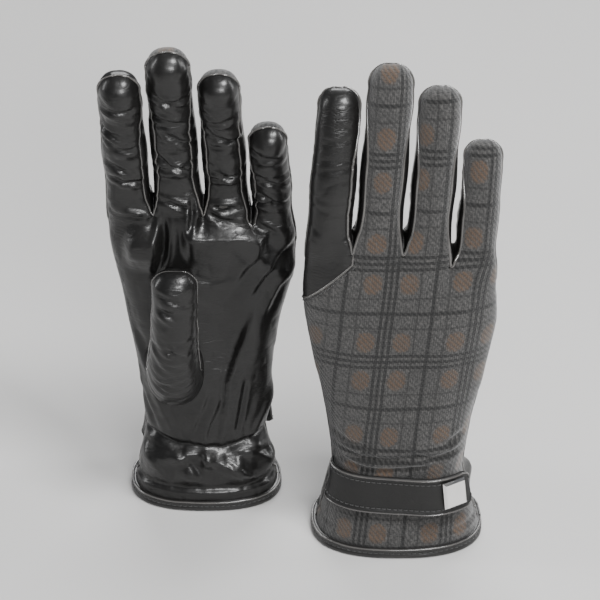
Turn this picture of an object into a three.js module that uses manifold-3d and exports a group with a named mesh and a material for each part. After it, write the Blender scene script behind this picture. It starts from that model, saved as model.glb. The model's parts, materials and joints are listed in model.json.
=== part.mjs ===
// A pair of gentlemen's dress gloves standing on their cuffs, fingers up: leather palms, thumbs, index
// fingers and fourchettes, woven wool backs, a bound hem, an elasticated wrist, and a wrist strap that
// closes on a press stud. Millimetres, +Z up. The left-hand glove stands at -X with its palm to -Y, and
// the right-hand glove at +X with its back to -Y, so the thumb side is at -X on both.
import * as THREE from 'three';
import { mergeVertices } from 'three/addons/utils/BufferGeometryUtils.js';
import Module from 'manifold-3d';

const wasm = await Module();
wasm.setup();

// ---- driving dimensions -------------------------------------------------------------------------
const WALL = 1.2;            // leather or wool shell
const SEAM = 0.15;           // half the gap left between two pieces sewn to each other
const JOINT_GAP = 0.6;       // between the hand and a finger stall that bends on it
const ELASTIC = 0.5;
const LINING = 0.8;
const HAND_LINING_INSET = 2.5;   // outer shell surface to the outside of the hand lining
const STALL_LINING_INSET = 1.75;
const HEM_LIFT = 1.2;        // the shell's raw edge above the binding's sole
const SQUARENESS = 2.6;      // exponent of every superellipse section
const CORNER = Math.PI / 4;  // where a finger's front or back panel meets its fourchette

const KNUCKLE = { height: 159, peakX: -10, fall: 0.007 };   // the line where the stalls join the hand

const FINGERS = {
  index: { x: -33.5, width: 21.6, depth: 21, length: 80, fourchettes: ['inner'] },
  middle: { x: -10.8, width: 22.6, depth: 22, length: 88, fourchettes: ['outer', 'inner'] },
  ring: { x: 12, width: 21.4, depth: 20.6, length: 80, fourchettes: ['outer', 'inner'] },
  pinky: { x: 33.2, width: 19.6, depth: 18.6, length: 62, fourchettes: ['outer'] },
};
// The thumb stands in front of the palm. Each station: half width, then the distance in front of the
// palm and the height of its outer line, and the same of its inner line. The first is its seam.
const THUMB = {
  x: -14,
  lean: 0.03,
  gap: 0.5,
  stations: [
    [12.2, 0, 58, 0, 95], [12.6, 8, 64, 1.4, 97], [12.6, 15, 73, 2.2, 101], [12.2, 19.5, 86, 2.8, 107],
    [11.6, 21.5, 101, 3.2, 114], [11, 22, 117, 3.6, 123], [10.4, 21.6, 132.5, 4, 132.5],
  ],
  hole: { width: 17, height: 30 },
};

const STRAP = { low: 24, high: 43, thick: 1.8, clear: 0.6, studClear: 4 };
const CAP = { width: 12, height: 13.5, thick: 1.6, face: 0.9, clear: 1 };
const STUD_ANGLE = THREE.MathUtils.degToRad(49);    // round the wrist from the little-finger side
const ELASTIC_BAND = { low: 31, high: 39, inset: 1.5 };
const BINDING = { height: 4.6, skin: 0.8, clear: 0.3 };

// Each hand is lofted through these sections: half width, half depth, height above the floor.
const GLOVES = {
  left: {
    place: [-45.67, 18.74, 0],
    palm: -1,
    lean: -0.045,
    curl: 13,
    sections: [
      [35.5, 24, 0], [33, 22, 14], [29.5, 19, 34], [29.5, 18, 52],
      [32, 17, 82], [36, 16, 112], [42, 14, 140], [44, 11.5, 160],
    ],
  },
  right: {
    place: [46.33, -15.26, 0],
    palm: 1,
    lean: 0.07,
    curl: 12,
    sections: [
      [40, 28, 0], [37, 26, 14], [32, 22, 34], [32, 20, 52],
      [35.5, 18, 80], [40.5, 16.5, 108], [44.5, 14.5, 134], [44, 11.5, 160],
    ],
  },
};

// ---- colours ------------------------------------------------------------------------------------
const finish = (color, roughness, metalness = 0) =>
  new THREE.MeshStandardMaterial({ color, roughness, metalness });
const LEATHER = finish(0x141416, 0.35);
const TWEED = finish(0x4a4a4c, 0.95);
const FLEECE = finish(0x26262a, 1);
const STRAP_LEATHER = finish(0x111113, 0.4);
const WEBBING = finish(0x1a1a1c, 0.9);
const NICKEL = finish(0xd8d6d0, 0.2, 1);

// ---- solids from sheets -------------------------------------------------------------------------
// Reverses the faces of a closed geometry whose volume comes out negative.
function facingOut(geometry) {
  const p = geometry.getAttribute('position');
  const index = geometry.getIndex().array;
  const [a, b, c] = [new THREE.Vector3(), new THREE.Vector3(), new THREE.Vector3()];
  let volume = 0;
  for (let i = 0; i < index.length; i += 3) {
    a.fromBufferAttribute(p, index[i]);
    b.fromBufferAttribute(p, index[i + 1]);
    c.fromBufferAttribute(p, index[i + 2]);
    volume += a.dot(b.cross(c));
  }
  if (volume < 0) geometry.setIndex(Array.from(index).reverse());
  return geometry;
}

function closedGeometry(points, quads) {
  const index = quads.flatMap(([a, b, c, d]) => [a, b, c, a, c, d]);
  const geometry = new THREE.BufferGeometry().setFromPoints(points);
  geometry.setIndex(index);
  return facingOut(geometry);
}

// A wall with an outer and an inner face over the same grid. face(u, v, inset) gives a point, with u
// across from 0 to 1 and v along from 0 to 1. round closes the grid on itself across.
function wall(face, across, along, insetOut, insetIn, round = false) {
  const columns = round ? across : across + 1;
  const points = [];
  for (const inset of [insetOut, insetIn])
    for (let j = 0; j <= along; j++)
      for (let i = 0; i < columns; i++) points.push(face(i / across, j / along, inset));
  const half = columns * (along + 1);
  const at = (layer, i, j) => layer * half + j * columns + (i % columns);
  const quads = [];
  for (let i = 0; i < across; i++) {
    for (let j = 0; j < along; j++) {
      quads.push([at(0, i, j), at(0, i + 1, j), at(0, i + 1, j + 1), at(0, i, j + 1)]);
      quads.push([at(1, i, j), at(1, i, j + 1), at(1, i + 1, j + 1), at(1, i + 1, j)]);
    }
    quads.push([at(0, i, 0), at(1, i, 0), at(1, i + 1, 0), at(0, i + 1, 0)]);
    quads.push([at(0, i, along), at(0, i + 1, along), at(1, i + 1, along), at(1, i, along)]);
  }
  for (let j = 0; j < along && !round; j++) {
    quads.push([at(0, 0, j), at(0, 0, j + 1), at(1, 0, j + 1), at(1, 0, j)]);
    quads.push([at(0, across, j), at(1, across, j), at(1, across, j + 1), at(0, across, j + 1)]);
  }
  return closedGeometry(points, quads);
}

// A closed band: profile(k) gives [inset, height] for corner k, swept round the hand by face(u, ...).
function band(face, corners, around) {
  const points = [];
  for (let i = 0; i < around; i++)
    for (const [inset, height] of corners) points.push(face(i / around, height, inset));
  const n = corners.length;
  const quads = [];
  for (let i = 0; i < around; i++)
    for (let k = 0; k < n; k++) {
      const next = ((i + 1) % around) * n;
      const k1 = (k + 1) % n;
      quads.push([i * n + k, next + k, next + k1, i * n + k1]);
    }
  return closedGeometry(points, quads);
}

function toManifold(geometry) {
  const bare = new THREE.BufferGeometry().setAttribute('position', geometry.getAttribute('position'));
  bare.setIndex(geometry.getIndex());
  const merged = mergeVertices(bare, 1e-4);
  return new wasm.Manifold(new wasm.Mesh({
    numProp: 3,
    vertProperties: merged.getAttribute('position').array,
    triVerts: new Uint32Array(merged.getIndex().array),
  }));
}

function cut(geometry, tool) {
  const mesh = toManifold(geometry).subtract(toManifold(tool)).getMesh();
  const made = new THREE.BufferGeometry();
  made.setAttribute('position', new THREE.BufferAttribute(mesh.vertProperties, 3));
  made.setIndex(new THREE.BufferAttribute(mesh.triVerts, 1));
  return made;
}

// ---- sections -----------------------------------------------------------------------------------
// A point of a superellipse: angle 0 is the little-finger side, a quarter turn the back of the hand.
function superellipse(angle, halfWidth, halfDepth) {
  const power = 2 / SQUARENESS;
  const c = Math.cos(angle);
  const s = Math.sin(angle);
  return [
    halfWidth * Math.sign(c) * Math.abs(c) ** power,
    halfDepth * Math.sign(s) * Math.abs(s) ** power,
  ];
}

const PALM_EDGE = 0.84;      // share of the half width where the palm starts to turn round the edge

const knuckleHeight = (x) => KNUCKLE.height - KNUCKLE.fall * (x - KNUCKLE.peakX) ** 2;

// The hand's surface. Its sections are spread so that the top one lies on the knuckle line.
function handSurface(sections) {
  const spine = new THREE.CatmullRomCurve3(sections.map((s) => new THREE.Vector3(...s)), false, 'centripetal');
  const top = sections.at(-1);
  const sectionAt = (height) => {
    let [low, high] = [0, 1];
    for (let step = 0; step < 24; step++) {
      const middle = (low + high) / 2;
      if (spine.getPoint(middle).z < height) low = middle;
      else high = middle;
    }
    return spine.getPoint(low);
  };
  const point = (angle, height, inset) => {
    const section = sectionAt(Math.min(height, top[2]));
    const [x, y] = superellipse(angle, section.x - inset, section.y - inset);
    return new THREE.Vector3(x, y, height);
  };
  // share runs from the hem, 0, to the knuckle line, 1
  const spread = (angle, share, inset, base = HEM_LIFT) => {
    const [topX] = superellipse(angle, top[0], top[1]);
    const nominal = base + share * (top[2] - base);
    const flat = point(angle, nominal, inset);
    flat.z = base + share * (knuckleHeight(topX) - JOINT_GAP / 2 - base);
    return flat;
  };
  // how far the palm stands in front of the hand's middle plane
  const depthAt = (x, height) => {
    const section = sectionAt(height);
    const share = Math.min(PALM_EDGE, Math.abs(x) / section.x);
    return section.y * (1 - share ** SQUARENESS) ** (1 / SQUARENESS);
  };
  return { point, spread, depthAt };
}

// A stall is a closed-ended tube. station(share) gives the middle, the half width and half depth, and
// the directions of both, from its base at 0 to where it starts to close at 1. The section is a
// superellipse, squeezed to a short ridge at the tip, so that a front and a back panel meet there.
const TIP = { share: 0.5, halfWidth: 3, halfDepth: 0.5 };
function stallSurface(station) {
  return (angle, along, inset) => {
    const straight = 1 - TIP.share;
    const { middle, halfWidth, halfDepth, across, up } = station(Math.min(1, along / straight));
    const reach = Math.max(0, (along - straight) / TIP.share) * Math.PI / 2;
    const shrink = Math.cos(reach);
    const [w, d] = superellipse(
      angle,
      TIP.halfWidth + (halfWidth - inset - TIP.halfWidth) * shrink,
      TIP.halfDepth + (halfDepth - inset - TIP.halfDepth) * shrink,
    );
    const ahead = new THREE.Vector3().crossVectors(across, up);
    return middle.clone()
      .addScaledVector(ahead, (Math.min(halfWidth, halfDepth) - inset) * Math.sin(reach))
      .addScaledVector(across, w)
      .addScaledVector(up, d);
  };
}

// ---- one finger ---------------------------------------------------------------------------------
const PANEL = { across: 4, along: 8 };
const FINGER_TAPER = 0.94;
const FOURCHETTE = { narrows: 0.4, ends: 0.9 };     // along the stall's grid, where it runs out to a point

function fingerStall(finger, glove) {
  const { x, width, depth, length } = finger;
  const across = new THREE.Vector3(1, 0, 0);
  const straight = length - depth * FINGER_TAPER / 2;
  const surface = stallSurface((share) => {
    const s = share * straight;
    const halfDepth = depth / 2 * THREE.MathUtils.lerp(1, FINGER_TAPER, share);
    const slope = 2 * glove.curl * s / length ** 2;
    return {
      middle: new THREE.Vector3(x + glove.lean * s, -glove.curl * (s / length) ** 2, s),
      halfWidth: width / 2 * THREE.MathUtils.lerp(1, FINGER_TAPER, share),
      halfDepth,
      across,
      up: new THREE.Vector3(0, 1, slope).normalize(),
    };
  });
  // the base follows the knuckle line; the tip keeps its place
  const centreBase = knuckleHeight(x) + JOINT_GAP / 2;
  return (angle, along, inset) => {
    const p = surface(angle, along, inset);
    const base = knuckleHeight(p.x - glove.lean * p.z) + JOINT_GAP / 2;
    p.z += centreBase + (base - centreBase) * (1 - along);
    return p;
  };
}

// The corner angle between a panel and a fourchette closes towards the tip, where the panels meet.
function cornerAngle(along, hasFourchette) {
  if (!hasFourchette) return 0;
  const { narrows, ends } = FOURCHETTE;
  return CORNER * (1 - THREE.MathUtils.clamp((along - narrows) / (ends - narrows), 0, 1));
}

// The angle that moves a panel's edge by half a seam.
const seamAngle = (along) => SEAM / (10 - 8 * along);

function fingerPieces(name, finger, glove) {
  const stall = fingerStall(finger, glove);
  const inner = finger.fourchettes.includes('inner');
  const outer = finger.fourchettes.includes('outer');
  const panel = (front) => wall((u, v, inset) => {
    const gap = seamAngle(v);
    const from = cornerAngle(v, inner) + gap;
    const to = Math.PI - cornerAngle(v, outer) - gap;
    const angle = from + (to - from) * u;
    return stall(front ? -angle : angle, v, inset);
  }, PANEL.across, PANEL.along, 0, WALL);
  const side = (isInner) => wall((u, v, inset) => {
    const along = v * (FOURCHETTE.ends - 1 / PANEL.along / 4);
    const reach = Math.max(0.02, cornerAngle(along, true) - seamAngle(along));
    const angle = (isInner ? 0 : Math.PI) + reach * (2 * u - 1);
    return stall(angle, along, inset);
  }, 2, PANEL.along - 1, 0, WALL);
  const lining = wall(
    (u, v, inset) => stall(u * 2 * Math.PI, v, inset),
    8, PANEL.along, STALL_LINING_INSET, STALL_LINING_INSET + LINING, true,
  );
  const backCloth = name === 'index' ? LEATHER : TWEED;
  const made = { front: [panel(true), LEATHER], back: [panel(false), backCloth] };
  if (inner) made.inner_fourchette = [side(true), LEATHER];
  if (outer) made.outer_fourchette = [side(false), LEATHER];
  made.lining = [lining, FLEECE];
  return made;
}

// ---- the thumb ----------------------------------------------------------------------------------
function thumbPieces(hand) {
  const { x, lean, gap, stations } = THUMB;
  const rows = new THREE.CatmullRomCurve3(stations.map(([w]) => new THREE.Vector3(w, 0, 0)));
  const outer = new THREE.CatmullRomCurve3(stations.map(([, out, z]) => new THREE.Vector3(0, -out, z)));
  const inner = new THREE.CatmullRomCurve3(stations.map(([, , , out, z]) => new THREE.Vector3(0, -out, z)));
  const [, , baseLow, , baseHigh] = stations[0];
  const baseMiddle = (baseLow + baseHigh) / 2;
  const front = hand.depthAt(0, baseMiddle) + gap;
  const across = new THREE.Vector3(1, 0, 0);
  const surface = stallSurface((share) => {
    const [o, i] = [outer.getPoint(share), inner.getPoint(share)];
    const middle = o.clone().lerp(i, 0.5);
    middle.x = x + lean * (middle.z - baseMiddle);
    middle.y -= front;
    return {
      middle,
      halfWidth: rows.getPoint(share).x,
      halfDepth: o.distanceTo(i) / 2,
      across,
      up: i.clone().sub(o).normalize(),
    };
  });
  // the seam follows the palm
  const seated = (angle, along, inset) => {
    const p = surface(angle, along, inset);
    const onPalm = -hand.depthAt(p.x, p.z) - gap;
    const share = THREE.MathUtils.clamp(1 - along / 0.25, 0, 1);
    p.y += (onPalm + front) * share;
    return p;
  };
  const half = (front) => wall((u, v, inset) => {
    const seam = seamAngle(v);
    const angle = seam + (Math.PI - 2 * seam) * u;
    return seated(front ? -angle : angle, v, inset);
  }, PANEL.across + 1, PANEL.along + 2, 0, WALL);
  const lining = wall(
    (u, v, inset) => seated(u * 2 * Math.PI, v, inset),
    10, PANEL.along + 2, STALL_LINING_INSET, STALL_LINING_INSET + LINING, true,
  );
  return { front: [half(true), LEATHER], back: [half(false), LEATHER], lining: [lining, FLEECE] };
}

// The hole that the thumb's base covers: an oval drill through the palm and its lining.
function thumbHole() {
  const [, , low, , high] = THUMB.stations[0];
  const { width, height } = THUMB.hole;
  const drill = new THREE.CylinderGeometry(0.5, 0.5, 40, 16);
  drill.scale(width, 1, height);
  drill.translate(THUMB.x, -20, (low + high) / 2);
  return drill;
}

// ---- the hand -----------------------------------------------------------------------------------
const HAND_GRID = { around: 24, up: 11 };

function handPieces(hand) {
  const seam = 0.006;      // radians; half the seam at the hand's edge
  const half = (sign) => wall((u, v, inset) => {
    const angle = sign * THREE.MathUtils.clamp(Math.PI * u, seam, Math.PI - seam);
    return hand.spread(angle, v, inset);
  }, HAND_GRID.around / 2, HAND_GRID.up, 0, WALL);
  const liningIn = HAND_LINING_INSET + LINING;
  const lining = wall(
    (u, v, inset) => hand.spread(u * 2 * Math.PI, v * 0.985, inset),
    HAND_GRID.around, HAND_GRID.up, HAND_LINING_INSET, liningIn, true,
  );
  const elastic = wall((u, v, inset) => {
    const angle = -Math.PI * (2 + 8 * u) / (HAND_GRID.around / 2);
    return hand.point(angle, THREE.MathUtils.lerp(ELASTIC_BAND.low, ELASTIC_BAND.high, v), inset);
  }, 8, 1, ELASTIC_BAND.inset, ELASTIC_BAND.inset + ELASTIC);
  const { height, skin, clear } = BINDING;
  const out = -clear - skin;
  const into = liningIn + clear;
  const binding = band(
    (u, z, inset) => hand.point(u * 2 * Math.PI, z, inset),
    [
      [out, 0], [out, height], [-clear, height], [-clear, skin],
      [into, skin], [into, height], [into + skin, height], [into + skin, 0],
    ],
    HAND_GRID.around,
  );
  return {
    palm_panel: [cut(half(-1), thumbHole()), LEATHER],
    back_panel: [half(1), TWEED],
    hand_lining: [cut(lining, thumbHole()), FLEECE],
    hem_binding: [binding, LEATHER],
    wrist_elastic: [elastic, WEBBING],
  };
}

// ---- the strap and its press stud ---------------------------------------------------------------
function studFrame(hand) {
  const low = hand.point(STUD_ANGLE, STRAP.low, 0);
  const high = hand.point(STUD_ANGLE, STRAP.high, 0);
  const height = (STRAP.low + STRAP.high) / 2;
  const at = hand.point(STUD_ANGLE, height, 0);
  const along = hand.point(STUD_ANGLE - 0.02, height, 0).sub(at).normalize();
  const upward = high.sub(low).normalize();
  const outward = new THREE.Vector3().crossVectors(upward, along).normalize();
  const tangent = new THREE.Vector3().crossVectors(outward, upward);
  return new THREE.Matrix4().makeBasis(tangent, outward, upward).setPosition(at);
}

// A disc or ring from a lathe profile of [radius, height above the cuff].
function turned(profile) {
  const lathe = new THREE.LatheGeometry(profile.map(([r, y]) => new THREE.Vector2(r, y)), 16);
  lathe.deleteAttribute('normal');
  lathe.deleteAttribute('uv');
  return lathe;
}

// The stud's cap: a rectangular plate that narrows to its face, clear of the strap's curve.
function bevelledPlate() {
  const { width, height, thick, face, clear } = CAP;
  const plate = new THREE.BoxGeometry(width, thick, height);
  const corners = plate.getAttribute('position');
  for (let i = 0; i < corners.count; i++) {
    if (corners.getY(i) < 0) continue;
    corners.setX(i, corners.getX(i) - Math.sign(corners.getX(i)) * face);
    corners.setZ(i, corners.getZ(i) - Math.sign(corners.getZ(i)) * face);
  }
  plate.deleteAttribute('normal');
  plate.deleteAttribute('uv');
  return plate.translate(0, STRAP.studClear + STRAP.thick + clear + thick / 2, 0);
}

function strapPieces(hand) {
  const from = THREE.MathUtils.degToRad(172);
  const to = THREE.MathUtils.degToRad(29);
  const liftFrom = THREE.MathUtils.degToRad(100);
  const liftTo = THREE.MathUtils.degToRad(64);
  const strap = wall((u, v, thickness) => {
    const angle = THREE.MathUtils.lerp(from, to, u);
    const lift = THREE.MathUtils.smoothstep(liftFrom - angle, 0, liftFrom - liftTo);
    const clear = THREE.MathUtils.lerp(STRAP.clear, STRAP.studClear, lift);
    const height = THREE.MathUtils.lerp(STRAP.low, STRAP.high, v);
    return hand.point(angle, height, -clear - thickness);
  }, 16, 1, STRAP.thick, 0);
  return {
    strap: [strap, STRAP_LEATHER],
    snap_cap: [bevelledPlate(), NICKEL, true],
    snap_socket: [turned([[3.4, 1.7], [5.2, 1.7], [5.2, 2.9], [3.4, 2.9], [3.4, 1.7]]), NICKEL, true],
    snap_stud: [turned([[0, 0.3], [5, 0.3], [5, 1.3], [2.2, 1.3], [2, 2.8], [0, 2.8]]), NICKEL, true],
  };
}

// ---- assembly -----------------------------------------------------------------------------------
function addPieces(group, prefix, pieces, frame) {
  for (const [name, [geometry, material, onStud]] of Object.entries(pieces)) {
    if (onStud) geometry.applyMatrix4(frame);
    const mesh = new THREE.Mesh(geometry, material);
    mesh.name = `${prefix}_${name}`;
    group.add(mesh);
  }
}

function glove(side) {
  const shape = GLOVES[side];
  const hand = handSurface(shape.sections);
  const group = new THREE.Group();
  addPieces(group, side, handPieces(hand));
  addPieces(group, side, strapPieces(hand), studFrame(hand));
  for (const [name, finger] of Object.entries(FINGERS))
    addPieces(group, `${side}_${name}`, fingerPieces(name, finger, shape));
  addPieces(group, `${side}_thumb`, thumbPieces(hand));
  group.position.set(...shape.place);
  group.scale.y = -shape.palm;      // the palm is modelled towards -Y
  return group;
}

const pair = new THREE.Group();
for (const side of Object.keys(GLOVES)) pair.add(glove(side));
export default pair;
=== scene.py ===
"""A pair of gentlemen's dress gloves standing on their cuffs: black nappa leather, checked wool backs,
a gathered wrist, and a strap closed by a press stud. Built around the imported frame, in metres."""
import json
import math

import bpy
import numpy as np
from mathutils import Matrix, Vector

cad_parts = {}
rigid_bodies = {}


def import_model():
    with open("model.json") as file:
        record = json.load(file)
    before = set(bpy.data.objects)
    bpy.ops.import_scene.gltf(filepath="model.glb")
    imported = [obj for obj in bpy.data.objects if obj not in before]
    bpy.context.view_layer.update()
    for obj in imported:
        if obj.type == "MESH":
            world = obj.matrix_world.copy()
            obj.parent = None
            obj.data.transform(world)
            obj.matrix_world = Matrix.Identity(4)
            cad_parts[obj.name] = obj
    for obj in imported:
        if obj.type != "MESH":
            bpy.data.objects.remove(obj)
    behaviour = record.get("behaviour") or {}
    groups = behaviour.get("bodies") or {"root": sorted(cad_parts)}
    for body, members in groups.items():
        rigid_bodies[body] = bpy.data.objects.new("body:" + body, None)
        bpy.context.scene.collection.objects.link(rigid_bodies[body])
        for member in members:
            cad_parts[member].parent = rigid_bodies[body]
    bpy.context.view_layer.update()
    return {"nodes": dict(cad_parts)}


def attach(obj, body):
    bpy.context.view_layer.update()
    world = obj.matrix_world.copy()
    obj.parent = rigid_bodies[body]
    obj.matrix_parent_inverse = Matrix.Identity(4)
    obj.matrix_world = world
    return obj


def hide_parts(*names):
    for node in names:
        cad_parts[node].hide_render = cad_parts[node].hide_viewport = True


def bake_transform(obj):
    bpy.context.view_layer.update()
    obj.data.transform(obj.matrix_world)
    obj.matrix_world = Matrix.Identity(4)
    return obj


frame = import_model()

MM = 0.001
SQUARENESS = 2.5
KNUCKLE = {"height": 159.0, "peak_x": -10.0, "fall": 0.007}

GLOVES = {
    "left": {
        "place": (-45.67, 18.74),
        "palm": -1,
        "lean": -0.045,
        "curl": 13.0,
        "sections": [
            (35.5, 24, 0), (33, 22, 14), (29.5, 19, 34), (29.5, 18, 52),
            (32, 17, 82), (36, 16, 112), (42, 14, 140), (44, 11.5, 160),
        ],
        "seed": 11,
    },
    "right": {
        "place": (46.33, -15.26),
        "palm": 1,
        "lean": 0.07,
        "curl": 12.0,
        "sections": [
            (40, 28, 0), (37, 26, 14), (32, 22, 34), (32, 20, 52),
            (35.5, 18, 80), (40.5, 16.5, 108), (44.5, 14.5, 134), (44, 11.5, 160),
        ],
        "seed": 29,
    },
}
FINGERS = [
    {"name": "index", "x": -33.5, "width": 21.6, "depth": 21.0, "length": 80.0},
    {"name": "middle", "x": -10.8, "width": 22.6, "depth": 22.0, "length": 88.0},
    {"name": "ring", "x": 12.0, "width": 21.4, "depth": 20.6, "length": 80.0},
    {"name": "pinky", "x": 33.2, "width": 19.6, "depth": 18.6, "length": 62.0},
]
FINGER_TAPER = 0.94

# ---- mesh resolution ----------------------------------------------------------------------------
COLS = 24          # across the front or the back of one finger
SIDE = 14          # across a fourchette, or round the edge of the hand
HAND_ROWS = 150
STALL_STEP = 1.05  # mm between rows of a stall
CAP_ROWS = 14
DIAGONAL_ROWS = 24  # rows above the slanting seam on the back of the index finger's base
FRONT_N = 4 * COLS + 1
RING = 2 * FRONT_N + 2 * (SIDE - 1)
F0, P0, B0, S0 = 0, FRONT_N, FRONT_N + SIDE - 1, 2 * FRONT_N + SIDE - 1
HALF_SIDE = SIDE // 2
INNER_EDGE, OUTER_EDGE = P0 + HALF_SIDE - 1, S0 + HALF_SIDE - 1   # the seams down the hand's two edges
INDEX_BACK = B0 + FRONT_N - 1 - COLS          # where the index finger's back begins
DIAGONAL_ROW = HAND_ROWS - DIAGONAL_ROWS


# ---- noise --------------------------------------------------------------------------------------
class Noise:
    """Smooth value noise over the plane, from -1 to 1, the same on each run."""

    def __init__(self, seed, size=64):
        self.size = size
        self.table = np.random.default_rng(seed).uniform(-1, 1, (size, size))

    def __call__(self, x, y):
        xi, yi = np.floor(x).astype(int), np.floor(y).astype(int)
        fx, fy = x - xi, y - yi
        fx, fy = fx * fx * (3 - 2 * fx), fy * fy * (3 - 2 * fy)
        n = self.size
        a = self.table[xi % n, yi % n]
        b = self.table[(xi + 1) % n, yi % n]
        c = self.table[xi % n, (yi + 1) % n]
        d = self.table[(xi + 1) % n, (yi + 1) % n]
        return (a * (1 - fx) + b * fx) * (1 - fy) + (c * (1 - fx) + d * fx) * fy

    def ridged(self, x, y, sharp=2.0):
        """Thin lines near 1 on a ground near 0."""
        return (1 - np.abs(self(x, y))) ** sharp


def smooth(x, low=0.0, high=1.0):
    t = np.clip((x - low) / (high - low), 0, 1)
    return t * t * (3 - 2 * t)


def bump(x, y, cx, cy, sx, sy, turn=0.0):
    c, s = math.cos(turn), math.sin(turn)
    u, v = (x - cx) * c + (y - cy) * s, -(x - cx) * s + (y - cy) * c
    return np.exp(-((u / sx) ** 2 + (v / sy) ** 2))


def nearest_on(x, y, points):
    """Distance from a polyline, the share of its length passed there, and +1 on its right, -1 on its left."""
    points = np.asarray(points, float)
    seg = np.diff(points, axis=0)
    length = np.linalg.norm(seg, axis=1)
    start = np.concatenate([[0], np.cumsum(length)])
    best, side, along = np.full(x.shape, 1e9), np.zeros(x.shape), np.zeros(x.shape)
    for p, d, l, s in zip(points[:-1], seg, length, start):
        t = np.clip(((x - p[0]) * d[0] + (y - p[1]) * d[1]) / l**2, 0, 1)
        dist = np.hypot(x - p[0] - t * d[0], y - p[1] - t * d[1])
        right = (x - p[0]) * d[1] - (y - p[1]) * d[0]
        near = dist < best
        best, along = np.where(near, dist, best), np.where(near, s + t * l, along)
        side = np.where(near, np.sign(right), side)
    return best, along / start[-1], side


def fading(share, power):
    """Full along the middle of a line, and nearly nothing at its ends."""
    return np.sin(np.pi * np.clip(share, 0.02, 0.98)) ** power


def crease(x, y, points, width, depth, shoulder=0.5):
    """A valley along a polyline, with a soft swell on each side."""
    gap, share, _ = nearest_on(x, y, points)
    q = gap / width
    swell = shoulder * np.exp(-((q - 2.1) ** 2) / 1.3)
    return fading(share, 0.6) * depth * (-np.exp(-(q**2)) + swell)


def fold(x, y, points, rise, sharp, reach):
    """Leather lapping over itself along a polyline: a quick step up on the line's right, easing away."""
    gap, share, side = nearest_on(x, y, points)
    signed = gap * side
    lap = smooth(signed, -sharp, sharp) * np.exp(-np.maximum(0, signed) / reach)
    tuck = 0.25 * np.exp(-(((signed + 1.2 * sharp) / sharp) ** 2))
    return fading(share, 0.7) * rise * (lap - tuck)


# ---- the hand's loft ----------------------------------------------------------------------------
def superellipse(angle, a, b, n=SQUARENESS):
    c, s = np.cos(angle), np.sin(angle)
    return a * np.sign(c) * np.abs(c) ** (2 / n), b * np.sign(s) * np.abs(s) ** (2 / n)


def knuckle(x):
    return KNUCKLE["height"] - KNUCKLE["fall"] * (x - KNUCKLE["peak_x"]) ** 2


def catmull(points, per=40):
    """Dense points of a Catmull-Rom curve through the given ones."""
    p = np.asarray(points, float)
    p = np.vstack([2 * p[0] - p[1], p, 2 * p[-1] - p[-2]])
    out = []
    for i in range(1, len(p) - 2):
        t = np.linspace(0, 1, per, endpoint=i == len(p) - 3)[:, None]
        a, b, c, d = p[i - 1 : i + 3]
        out.append(
            0.5 * (2 * b + (c - a) * t + (2 * a - 5 * b + 4 * c - d) * t**2
                   + (3 * b - a - 3 * c + d) * t**3)
        )
    return np.vstack(out)


class Hand:
    def __init__(self, sections):
        curve = catmull(sections)
        self.z, self.a, self.b = curve[:, 2], curve[:, 0], curve[:, 1]
        self.top = (sections[-1][0], sections[-1][1])

    def half(self, z):
        return np.interp(z, self.z, self.a), np.interp(z, self.z, self.b)

    def depth_at(self, x, z):
        a, b = self.half(z)
        return b * (1 - np.minimum(0.97, np.abs(x) / a) ** SQUARENESS) ** (1 / SQUARENESS)


BOUNDS_X = [-41.0, -22.4, 0.7, 22.9, 40.4]   # outer corner, three crotches, inner corner


def column_angles(hand):
    """The superellipse angle of each of the hand's columns: front, little-finger side, back, index side."""
    a = hand.top[0]
    xs = np.concatenate(
        [np.linspace(BOUNDS_X[k], BOUNDS_X[k + 1], COLS, endpoint=False) for k in range(4)]
        + [[BOUNDS_X[4]]]
    )
    front = -np.arccos(np.sign(xs) * (np.abs(xs) / a) ** (SQUARENESS / 2))
    inner = np.linspace(front[-1], -front[-1], SIDE + 1)[1:-1]
    back = -front[::-1]
    outer = np.linspace(back[-1], 2 * np.pi + front[0], SIDE + 1)[1:-1]
    return np.concatenate([front, inner, back, outer])


SLANT_LOW, SLANT_HIGH = (-44, 131.5), (-22.4, 154.0)   # the slanting seam's ends, below the index finger
CUFF_Z = 0.9                                            # the skin's lowest row


def seam_height(x):
    slope = (SLANT_HIGH[1] - SLANT_LOW[1]) / (SLANT_HIGH[0] - SLANT_LOW[0])
    return SLANT_LOW[1] + (x - SLANT_LOW[0]) * slope


def hand_grid(hand):
    angle = column_angles(hand)
    top_x, _ = superellipse(angle, *hand.top)
    top_z = knuckle(top_x)
    share = np.linspace(0, 1, HAND_ROWS + 1)[:, None]
    # rows bunch above the slanting seam on the index finger's back, and ease out on both sides of it
    column = np.arange(RING)
    weight = smooth(column, INDEX_BACK - COLS, INDEX_BACK)
    weight *= 1 - smooth(column, S0 + 4, S0 + SIDE - 1)
    split = 1 - DIAGONAL_ROWS / HAND_ROWS
    plain = CUFF_Z + share * (top_z - CUFF_Z)
    mid = np.minimum(seam_height(top_x), top_z - 2.0)
    bent = np.where(
        share < split,
        CUFF_Z + share / split * (mid - CUFF_Z),
        mid + (share - split) / (1 - split) * (top_z - mid),
    )
    z = plain * (1 - weight) + bent * weight
    nominal = CUFF_Z + (z - CUFF_Z) / (top_z - CUFF_Z) * (hand.z[-1] - CUFF_Z)
    a, b = hand.half(nominal)
    x, y = superellipse(angle[None, :], a, b)
    return np.stack([x, y, z], -1)


def ring_corner(share):
    """The half angle that a fourchette takes up: it narrows to nothing at the tip."""
    return math.radians(42) * (1 - smooth(share, 0.50, 0.93)) + math.radians(1.2)


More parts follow.
